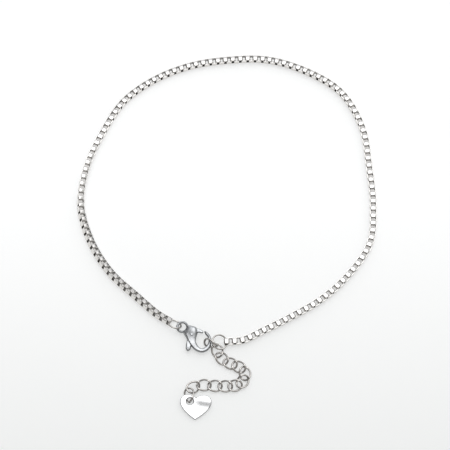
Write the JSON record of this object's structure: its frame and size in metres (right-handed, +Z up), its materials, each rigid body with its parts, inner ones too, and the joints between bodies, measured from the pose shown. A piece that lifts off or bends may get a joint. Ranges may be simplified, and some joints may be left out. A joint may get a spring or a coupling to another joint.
{
  "type": "chain anklet",
  "caption": "Slim box chain anklet with a lobster clasp, an extender of oval links and a small heart tag.",
  "frame": {"origin": "on the surface the anklet lies on, under the middle of its bounding box", "axes": "+Z up from the surface; +Y across the loop, away from the clasp and its extender; +X to the right seen from above with the clasp nearest"},
  "size_m": [0.0784, 0.1, 0.0031],
  "materials": {
    "steel": "polished"
  },
  "bodies": {
    "anklet": {"box_chain_right": "steel", "box_chain_left": "steel", "clasp_ring": "steel", "clasp_body": "steel", "end_ring": "steel", "extender_link_01": "steel", "extender_link_02": "steel", "extender_link_03": "steel", "extender_link_04": "steel", "extender_link_05": "steel", "extender_link_06": "steel", "extender_link_07": "steel", "extender_link_08": "steel", "extender_link_09": "steel", "extender_link_10": "steel", "extender_link_11": "steel", "extender_link_12": "steel", "extender_link_13": "steel", "heart_tag": "steel"},
    "gate": {"clasp_gate": "steel"}
  },
  "joints": [
    {"name": "clasp_gate_hinge", "type": "hinge", "parent": "anklet", "child": "gate", "pos_m": [-0.00879, -0.02837, 0.00117], "axis": [0, 0, 1], "range_deg": [-25, 0], "stiffness_Nm_per_rad": 0.00002}
  ]
}
